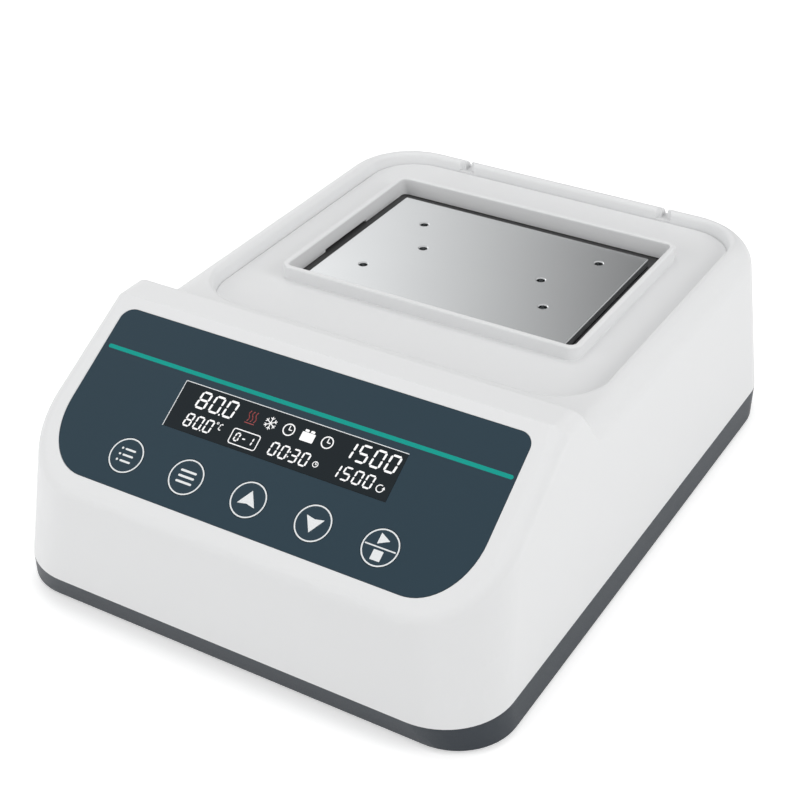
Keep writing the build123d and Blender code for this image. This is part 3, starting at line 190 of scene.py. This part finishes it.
metals = {
    "satinPlate": {"color": (0.74, 0.755, 0.765), "roughness": 0.25,
                   "markScale": 1400.0, "markDepth": 0.000004, "cloud": 0.012},
    "machinedCasting": {"color": (0.60, 0.61, 0.62), "roughness": 0.4,
                        "markScale": 900.0, "markDepth": 0.00002},
    "platedSteel": {"color": (0.62, 0.61, 0.57), "roughness": 0.3,
                    "markScale": 1500.0, "markDepth": 0.00001},
    "groundSteel": {"color": (0.55, 0.55, 0.56), "roughness": 0.25,
                    "markScale": 1200.0, "markDepth": 0.00001, "stretch": (1, 1, 8)},
    "motorSteel": {"color": (0.42, 0.42, 0.43), "roughness": 0.35,
                   "markScale": 800.0, "markDepth": 0.00001},
    "windingCopper": {"color": (0.62, 0.28, 0.13), "roughness": 0.35,
                      "markScale": 300.0, "markDepth": 0.0002, "stretch": (1, 1, 6)},
    "contactBrass": {"color": (0.72, 0.62, 0.40), "roughness": 0.25,
                     "markScale": 1000.0, "markDepth": 0.00001},
}
inks = {
    "litWhite": {"color": (0.80, 0.80, 0.80), "glow": 0.35},
    "litRed": {"color": (0.26, 0.05, 0.05), "glow": 0.35},
}


# Clear glass: a faint cloud in its colour and gloss
def clearGlass(name):
    material, tree, shader = newMaterial(name, {"Transmission Weight": 1.0, "IOR": 1.5})
    cloud = noise(tree, objectCoordinates(tree), 300.0)
    tree.links.new(spread(tree, cloud, 0.02, 0.06), shader.inputs["Roughness"])
    tree.links.new(tint(tree, cloud, (0.88, 0.92, 0.92), (0.94, 0.96, 0.96)), shader.inputs["Base Color"])
    return material


finish = {name: mouldedPlastic(name, look) for name, look in plastics.items()}
finish.update({name: workedMetal(name, look) for name, look in metals.items()})
finish.update({name: litInk(name, look) for name, look in inks.items()})
finish["fuseGlass"] = clearGlass("fuseGlass")
print("materials made:", len(finish))

slotFinish = {
    "white_shell": "whiteShell", "dark_base": "darkBase", "foot_rubber": "footRubber",
    "overlay_film": "overlayFilm", "window_acrylic": "smokedWindow", "key_cap": "keyCap",
    "switch_plastic": "blackMoulding", "board": "greenBoard", "board_parts": "componentBody",
    "plated_steel": "platedSteel", "heated_metal": "satinPlate", "cast_metal": "machinedCasting",
    "shaft_steel": "groundSteel", "bearing_steel": "groundSteel", "motor_steel": "motorSteel",
    "copper": "windingCopper", "carrier_plastic": "carrierBlack", "insulation": "siliconeFoam",
    "heater_film": "heaterMat", "rear_plate": "rearPlate", "contact_brass": "contactBrass",
    "fuse_glass": "fuseGlass", "rocker_red": "rockerRed",
}
nodeSlot = {entry["node"]: entry["material_slot"] for entry in frame["record"]["subparts"]}
nodeBody = {name: body for body, names in frame["record"]["behaviour"]["bodies"].items() for name in names}
for name, piece in nodes.items():
    piece.data.materials.clear()
    piece.data.materials.append(finish[slotFinish[nodeSlot[name]]])


# Softened copies: a copy of a node is merged, its flat faces are joined, and its sharp edges are
# rounded by the radius below in millimetres
edgeRound = {
    "upper_housing": 0.30, "base_tray": 0.35, "heating_plate": 0.12, "plate_carrier": 0.25,
    "rear_panel": 0.2, "power_inlet": 0.3, "fuse_drawer": 0.2, "switch_frame": 0.3, "switch_rocker": 0.25,
    "fan_frame": 0.2, "fan_rotor": 0.1, "inlet_blades": 0.2, "rubber_feet": 0.25, "control_overlay": 0.04,
    "display_window": 0.04,
}
softening = {"mergeDistance": 0.000002, "flatDeg": 0.3, "sharpDeg": 32, "segments": 2}


def softenedCopy(name, width):
    source = nodes[name]
    mesh = source.data.copy()
    shape = bmesh.new()
    shape.from_mesh(mesh)
    bmesh.ops.remove_doubles(shape, verts=shape.verts, dist=softening["mergeDistance"])
    bmesh.ops.dissolve_limit(
        shape, angle_limit=math.radians(softening["flatDeg"]), use_dissolve_boundaries=False,
        verts=shape.verts, edges=shape.edges,
    )
    shape.to_mesh(mesh)
    shape.free()
    mesh.shade_smooth()
    piece = bpy.data.objects.new(name + "_finished", mesh)
    scene.collection.objects.link(piece)
    rounding = piece.modifiers.new("edge", "BEVEL")
    rounding.width = width * mm
    rounding.segments = softening["segments"]
    rounding.limit_method = "ANGLE"
    rounding.angle_limit = math.radians(softening["sharpDeg"])
    rounding.use_clamp_overlap = True
    rounding.harden_normals = False
    weights = piece.modifiers.new("shading", "WEIGHTED_NORMAL")
    weights.weight = 100
    weights.keep_sharp = False
    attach(piece, nodeBody[name])
    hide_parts(name)
    return piece


finished = {name: softenedCopy(name, width) for name, width in edgeRound.items()}
print("softened copies:", len(finished))


# The sloping panel's own frame: x across, v up the slope from the key row, w out of the face
slope = {"keyRow": (0.0, -133.13, 72.18), "tiltDeg": 32.3, "filmTop": 0.1, "inkHeight": 0.03}
tilt = math.radians(slope["tiltDeg"])
upSlope = np.array((0.0, math.cos(tilt), math.sin(tilt)))
offSlope = np.array((0.0, -math.sin(tilt), math.cos(tilt)))


def onSlope(points, height):
    # Place = key row + x across + v up the slope + height along the face's normal
    points = np.asarray(points, float)
    across = np.zeros((len(points), 3))
    across[:, 0] = points[:, 0]
    return (np.array(slope["keyRow"]) + across + points[:, 1:2] * upSlope + height * offSlope) * mm


def inkPiece(name, outlines, low, high, material, body):
    # Each outline is a closed run of (x, v) points; it becomes a thin prism from low to high
    verts, faces = [], []
    start = 0
    for outline in outlines:
        outline = np.asarray(outline, float)
        x, v = outline[:, 0], outline[:, 1]
        area = np.sum(x * np.roll(v, -1) - np.roll(x, -1) * v)
        if area < 0:
            outline = outline[::-1]
        count = len(outline)
        verts.append(onSlope(outline, low))
        verts.append(onSlope(outline, high))
        ring = np.arange(count)
        faces.append((start + ring[::-1]).tolist())
        faces.append((start + count + ring).tolist())
        after = np.roll(ring, -1)
        sides = np.stack([ring, after, after + count, ring + count], 1) + start
        faces += sides.tolist()
        start += 2 * count
    mesh = bpy.data.meshes.new(name)
    mesh.from_pydata(np.concatenate(verts).tolist(), [], faces)
    mesh.materials.append(finish[material])
    piece = bpy.data.objects.new(name, mesh)
    scene.collection.objects.link(piece)
    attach(piece, body)
    return piece


# Flat drawing helpers, all in millimetres on the slope
def bar(x0, v0, x1, v1, width, steps=6):
    # A straight stroke: two long sides and, at each end, half a circle
    start, end = np.array((x0, v0), float), np.array((x1, v1), float)
    along = (end - start) / np.linalg.norm(end - start)
    side = np.array((-along[1], along[0])) * width / 2
    turn = np.linspace(-np.pi / 2, np.pi / 2, 2 * steps + 1)[:, None]
    cap = np.cos(turn) * along * width / 2 + np.sin(turn) * side
    return np.concatenate([end + cap, start - cap])


def arcStroke(x, v, radius, fromDeg, toDeg, width, steps=24):
    # A ring or part of one, as short quads between an outer and an inner circle
    angles = np.radians(np.linspace(fromDeg, toDeg, steps + 1))
    rim = np.stack([np.cos(angles), np.sin(angles)], 1)
    outer, inner = rim * (radius + width / 2), rim * (radius - width / 2)
    centre = np.array((x, v))
    return [
        np.array([inner[i], outer[i], outer[i + 1], inner[i + 1]]) + centre for i in range(steps)
    ]


def roundedBox(x0, v0, x1, v1, radius, steps=6):
    # Four quarter circles joined by straight sides
    corners = [(x1 - radius, v0 + radius, -90), (x1 - radius, v1 - radius, 0),
               (x0 + radius, v1 - radius, 90), (x0 + radius, v0 + radius, 180)]
    turn = np.linspace(0, 90, steps + 1)
    sides = []
    for cx, cv, fromDeg in corners:
        angles = np.radians(fromDeg + turn)
        sides.append(np.stack([cx + radius * np.cos(angles), cv + radius * np.sin(angles)], 1))
    return np.concatenate(sides)


def boxStroke(x0, v0, x1, v1, radius, width, steps=5):
    outer = roundedBox(x0, v0, x1, v1, radius, steps)
    inner = roundedBox(x0 + width, v0 + width, x1 - width, v1 - width, max(radius - width, 0.05), steps)
    after = np.roll(np.arange(len(outer)), -1)
    return [np.array([inner[i], outer[i], outer[j], inner[j]]) for i, j in enumerate(after)]


# Seven-segment figures: each lit segment is a bar with pointed ends, leaning a little to the right
segmentsLit = {
    "0": "abcdef", "1": "bc", "3": "abgcd", "5": "afgcd", "8": "abcdefg", "-": "g", "C": "afed",
}
lean = 0.11


def figure(symbol, x, v, width, height, thick):
    half, gap = height / 2, thick * 0.16
    left, right = x + thick / 2, x + width - thick / 2
    low, mid, high = v + thick / 2, v + half, v + height - thick / 2
    ends = {
        "a": ((left, high), (right, high)), "b": ((right, high), (right, mid)),
        "c": ((right, mid), (right, low)), "d": ((left, low), (right, low)),
        "e": ((left, mid), (left, low)), "f": ((left, high), (left, mid)),
        "g": ((left, mid), (right, mid)),
    }
    shapes = []
    for key in segmentsLit[symbol]:
        start, end = (np.array(point, float) for point in ends[key])
        along = (end - start) / np.linalg.norm(end - start)
        side = np.array((-along[1], along[0])) * thick / 2
        start, end = start + along * gap, end - along * gap
        tip = along * thick / 2
        shape = np.array([
            start, start + tip - side, end - tip - side, end, end - tip + side, start + tip + side,
        ])
        shape[:, 0] += (shape[:, 1] - v) * lean
        shapes.append(shape)
    return shapes


def number(text, x0, x1, v, height, thick):
    # Spreads the figures between x0 and x1; a point or colon stands in the gap before the next figure
    gapShare, dotShare = 0.34, 0.78
    count = len([symbol for symbol in text if symbol not in ".:"])
    unit = (x1 - x0 - height * lean) / (count + gapShare * (count - 1))
    shapes, x = [], x0
    for symbol in text:
        if symbol in ".:":
            middle, half = x - unit * gapShare / 2, thick * dotShare / 2
            for share in ((0.0,) if symbol == "." else (0.3, 0.7)):
                level = v + half + share * (height - thick)
                dot = roundedBox(middle - half, level - half, middle + half, level + half, half * 0.3, 2)
                dot[:, 0] += (level - v) * lean
                shapes.append(dot)
        else:
            shapes += figure(symbol, x, v, unit, height, thick)
            x += unit * (1 + gapShare)
    return shapes


# Printing on the film: one stripe and two fine lines on the window's upper and left edges
stripe = {"left": -94.0, "right": 95.3, "low": 41.4, "high": 43.2}
filmLow = slope["filmTop"] - 0.02
filmHigh = slope["filmTop"] + slope["inkHeight"]
inkPiece(
    "panel_stripe",
    [roundedBox(stripe["left"], stripe["low"], stripe["right"], stripe["high"], 0.85)],
    filmLow, filmHigh, "stripeInk", "base",
)
window = {"left": -51.27, "right": 52.82, "low": 17.24, "high": 38.17, "line": 0.32}
windowTop, windowLeft = window["high"] + 0.1, window["left"] - 0.1
inkPiece(
    "window_lines",
    [
        bar(window["left"] - 0.05, windowTop, window["right"], windowTop, window["line"]),
        bar(windowLeft, window["low"], windowLeft, window["high"], window["line"]),
    ],
    filmLow, filmHigh, "paleInk", "base",
)

# What the display shows: set and actual temperature, time and speed, with plain signs between them
display = {
    "big": {"v": 28.4, "height": 8.0, "thick": 0.9}, "small": {"v": 19.7, "height": 6.1, "thick": 0.7},
    "clocks": (1.4, 19.2), "clockRow": 32.2, "snowflake": (-7.3, 32.3), "waves": (-17.5, -15.9, -14.3),
}
lit = number("80.0", -42.6, -23.6, **display["big"])
lit += number("1500", 26.2, 51.4, **display["big"])
lit += number("80.0", -43.6, -29.8, **display["small"])
lit += number("00:30", -2.8, 15.8, **display["small"])
lit += number("1500", 25.6, 45.1, **display["small"])
lit += figure("C", -27.6, 22.6, 1.7, 2.9, 0.42)
lit += arcStroke(-28.6, 25.3, 0.42, 0, 360, 0.25, 10)
lit += boxStroke(-21.0, 19.0, -8.0, 26.0, 1.2, 0.42)
lit += number("0-1", -19.3, -10.2, 20.5, 4.0, 0.6)
clockV = display["clockRow"]
for clockX in display["clocks"]:
    lit += arcStroke(clockX, clockV, 2.45, 0, 360, 0.5, 28)
    lit += [bar(clockX, clockV, clockX, 33.9, 0.42), bar(clockX, clockV, clockX + 1.2, clockV, 0.42)]
for arm in range(6):
    direction = math.radians(60 * arm + 90)
    reach = np.array((math.cos(direction), math.sin(direction)))
    centre = np.array(display["snowflake"])
    lit.append(bar(*centre, *(centre + reach * 2.7), 0.38))
    for side in (-1, 1):
        branch = math.radians(60 * arm + 90 + side * 52)
        knot = centre + reach * 1.75
        twig = knot + 0.95 * np.array((math.cos(branch), math.sin(branch)))
        lit.append(bar(*knot, *twig, 0.32))
lit += [
    roundedBox(7.3, 29.7, 13.3, 33.6, 0.4), roundedBox(8.1, 33.8, 9.9, 34.8, 0.3),
    roundedBox(10.7, 33.8, 12.5, 34.8, 0.3),
]
lit += arcStroke(18.9, 22.3, 1.15, 0, 360, 0.34, 16)
lit += [bar(18.9, 22.3, 18.9, 23.1, 0.3), bar(18.9, 22.3, 19.5, 22.3, 0.3)]
lit += arcStroke(48.2, 21.6, 1.5, 60, 360, 0.4, 18)
lit.append(np.array([(49.0, 21.6), (50.4, 21.6), (49.7, 22.7)]))
glassTop = 0.05
inkPiece("display_figures", lit, glassTop - 0.02, glassTop + 0.02, "litWhite", "base")


def heatWave(x):
    # One wavy stroke: sideways place follows a sine of the height
    steps = np.linspace(0, 1, 13)
    height = 30.3 + 4.3 * steps
    across = x + 0.45 * np.sin(steps * 2 * np.pi)
    return [bar(across[i], height[i], across[i + 1], height[i + 1], 0.42) for i in range(12)]


inkPiece(
    "display_heat_sign",
    [shape for x in display["waves"] for shape in heatWave(x)] + [bar(-18.1, 29.4, -13.9, 29.4, 0.36)],
    glassTop - 0.02, glassTop + 0.02, "litRed", "base",
)
print("display drawn:", len(lit), "marks")

# Key prints: a ring and a plain sign on each cap, riding on its key
keyRow = {"pitch": 29.66, "ringRadius": 7.4, "ringLine": 0.58}
keyNames = ["key_program", "key_menu", "key_up", "key_down", "key_start_stop"]


def keySign(name, x):
    if name == "key_program":
        signs = []
        for level in (2.6, 0.0, -2.6):
            signs += [bar(x - 1.4, level, x + 2.9, level, 0.85), bar(x - 3.2, level, x - 3.1, level, 0.95)]
        return signs
    if name == "key_menu":
        return [bar(x - 3.3, level, x + 3.3, level, 0.95) for level in (-2.4, 0.0, 2.4)]
    if name in ("key_up", "key_down"):
        up = 1 if name == "key_up" else -1
        return [
            np.array([(x - 4.0, -2.5 * up), (x, -1.7 * up), (x, 4.0 * up)]),
            np.array([(x, -1.7 * up), (x + 4.0, -2.5 * up), (x, 4.0 * up)]),
        ]
    return [
        bar(x - 6.4, 0.0, x + 6.4, 0.0, 0.55),
        np.array([(x - 2.0, 1.1), (x + 2.6, 3.4), (x - 2.0, 5.7)]),
        roundedBox(x - 2.1, -5.4, x + 2.1, -1.2, 0.25),
    ]


for place, keyName in enumerate(keyNames):
    keyX = (place - 2) * keyRow["pitch"]
    marks = arcStroke(keyX, 0.0, keyRow["ringRadius"], 0, 360, keyRow["ringLine"], 64)
    marks += keySign(keyName, keyX)
    inkPiece(keyName + "_print", marks, filmLow, filmHigh, "paleInk", keyName)
print("key prints made")


# Studio: pale floor, soft light, a white background for camera, glossy and transmission rays
studio = {"floorSize": 3.0, "floorSeen": 0.97, "floorElse": 0.76, "floorLift": 0.4, "diffuse": 0.55}


def anyRay(tree, rays, names):
    # 1 where the ray is of one of the named kinds
    found = rays.outputs[names[0]]
    for name in names[1:]:
        found = combine(tree, "MAXIMUM", found, rays.outputs[name])
    return found


def makeFloor():
    size = studio["floorSize"]
    mesh = bpy.data.meshes.new("floor")
    corners = np.array([(-size, -size, 0), (size, -size, 0), (size, size, 0), (-size, size, 0)])
    mesh.from_pydata(corners.tolist(), [], [(0, 1, 2, 3)])
    material, tree, shader = newMaterial("paleFloor", {"Roughness": 0.9, "Specular IOR Level": 0.1})
    rays = addNode(tree, "LightPath")
    seen = anyRay(tree, rays, ["Is Camera Ray", "Is Glossy Ray", "Is Transmission Ray"])
    shade = tint(tree, seen, (studio["floorElse"],) * 3, (studio["floorSeen"],) * 3)
    tree.links.new(shade, shader.inputs["Base Color"])
    shader.inputs["Emission Color"].default_value = (1, 1, 1, 1)
    lift = combine(tree, "MULTIPLY", seen, studio["floorLift"])
    tree.links.new(lift, shader.inputs["Emission Strength"])
    mesh.materials.append(material)
    floor = bpy.data.objects.new("floor", mesh)
    scene.collection.objects.link(floor)


# What polished faces see of the world: at the rear left, low down, a bright side that falls off to the
# right and upwards; everywhere else an even grey
sky = {"bright": 1.56, "dim": 0.09, "slant": -0.273, "edges": (-0.686, -0.4215), "even": 0.7}


def polishedView(tree):
    place = addNode(tree, "TexCoord")
    way = addNode(tree, "SeparateXYZ", {0: place.outputs["Generated"]})
    x, y, z = (way.outputs[axis] for axis in "XYZ")
    slanted = addNode(tree, "Math", {0: z, 1: sky["slant"], 2: x}, operation="MULTIPLY_ADD").outputs[0]
    side = remap(tree, slanted, *sky["edges"], sky["bright"], sky["dim"])
    falling = combine(tree, "MULTIPLY", remap(tree, z, 0.5, 0.9, 1.0, 0.4), side)
    rearward = remap(tree, y, 0.0, 0.3, 0.0, 1.0)
    lowDown = remap(tree, z, 0.68, 0.85, 1.0, 0.0)
    leftward = remap(tree, x, -0.1, 0.2, 1.0, 0.0)
    share = combine(tree, "MULTIPLY", combine(tree, "MULTIPLY", rearward, lowDown), leftward)
    return remap(tree, share, 0.0, 1.0, sky["even"], falling)


def makeWorld():
    world = bpy.data.worlds.new("studio")
    world.use_nodes = True
    scene.world = world
    tree = world.node_tree
    back = tree.nodes["Background"]
    rays = addNode(tree, "LightPath")
    isGlossy = rays.outputs["Is Glossy Ray"]
    clear = anyRay(tree, rays, ["Is Camera Ray", "Is Transmission Ray"])
    seen = combine(tree, "MAXIMUM", clear, combine(tree, "MULTIPLY", isGlossy, polishedView(tree)))
    rest = combine(tree, "SUBTRACT", 1.0, combine(tree, "MAXIMUM", clear, isGlossy))
    soft = combine(tree, "MULTIPLY", rest, studio["diffuse"])
    back.inputs["Color"].default_value = (1, 1, 1, 1)
    tree.links.new(combine(tree, "ADD", seen, soft), back.inputs["Strength"])


# Three soft disks aimed at the part; polished faces don't see them
lamps = {
    "overhead": {"place": (-0.3, 0.35, 1.45), "size": 1.2, "power": 4.6},
    "right": {"place": (1.38, -0.05, 0.8), "size": 1.0, "power": 8.4},
    "front": {"place": (-0.8, -1.45, 0.6), "size": 1.2, "power": 9.2},
}
lampAim = (0, 0, 0.05)


def makeLamps():
    for name, look in lamps.items():
        lamp = bpy.data.lights.new(name, "AREA")
        lamp.shape = "DISK"
        lamp.size = look["size"]
        lamp.energy = look["power"]
        thing = bpy.data.objects.new(name, lamp)
        scene.collection.objects.link(thing)
        aim = Vector(lampAim) - Vector(look["place"])
        turn = aim.to_track_quat("-Z", "Y").to_matrix().to_4x4()
        thing.matrix_world = Matrix.Translation(look["place"]) @ turn
        thing.visible_camera = False
        thing.visible_glossy = False


# The camera stands where edges of the part fall on the same edges in the photograph
eye = {"target": (26.76, -63.52, 87.9), "distance": 673.98, "azimuthDeg": 30.599,
       "elevationDeg": 32.783, "rollDeg": -0.165, "lens": 75.247}


def makeCamera():
    yaw, pitch, roll = (math.radians(eye[key]) for key in ("azimuthDeg", "elevationDeg", "rollDeg"))
    ahead = Vector((-math.sin(yaw) * math.cos(pitch), math.cos(yaw) * math.cos(pitch), -math.sin(pitch)))
    right = Vector((math.cos(yaw), math.sin(yaw), 0))
    up = right.cross(ahead)
    across = math.cos(roll) * right + math.sin(roll) * up
    over = -math.sin(roll) * right + math.cos(roll) * up
    lens = bpy.data.cameras.new("camera")
    lens.lens = eye["lens"]
    lens.sensor_width = 36.0
    lens.clip_start = 0.01
    camera = bpy.data.objects.new("camera", lens)
    scene.collection.objects.link(camera)
    place = (Vector(eye["target"]) - ahead * eye["distance"]) * mm
    turn = Matrix((across, over, -ahead)).transposed().to_4x4()
    camera.matrix_world = Matrix.Translation(place) @ turn
    scene.camera = camera


makeFloor()
makeWorld()
makeLamps()
makeCamera()
scene.view_settings.view_transform = "Standard"
print("studio ready")
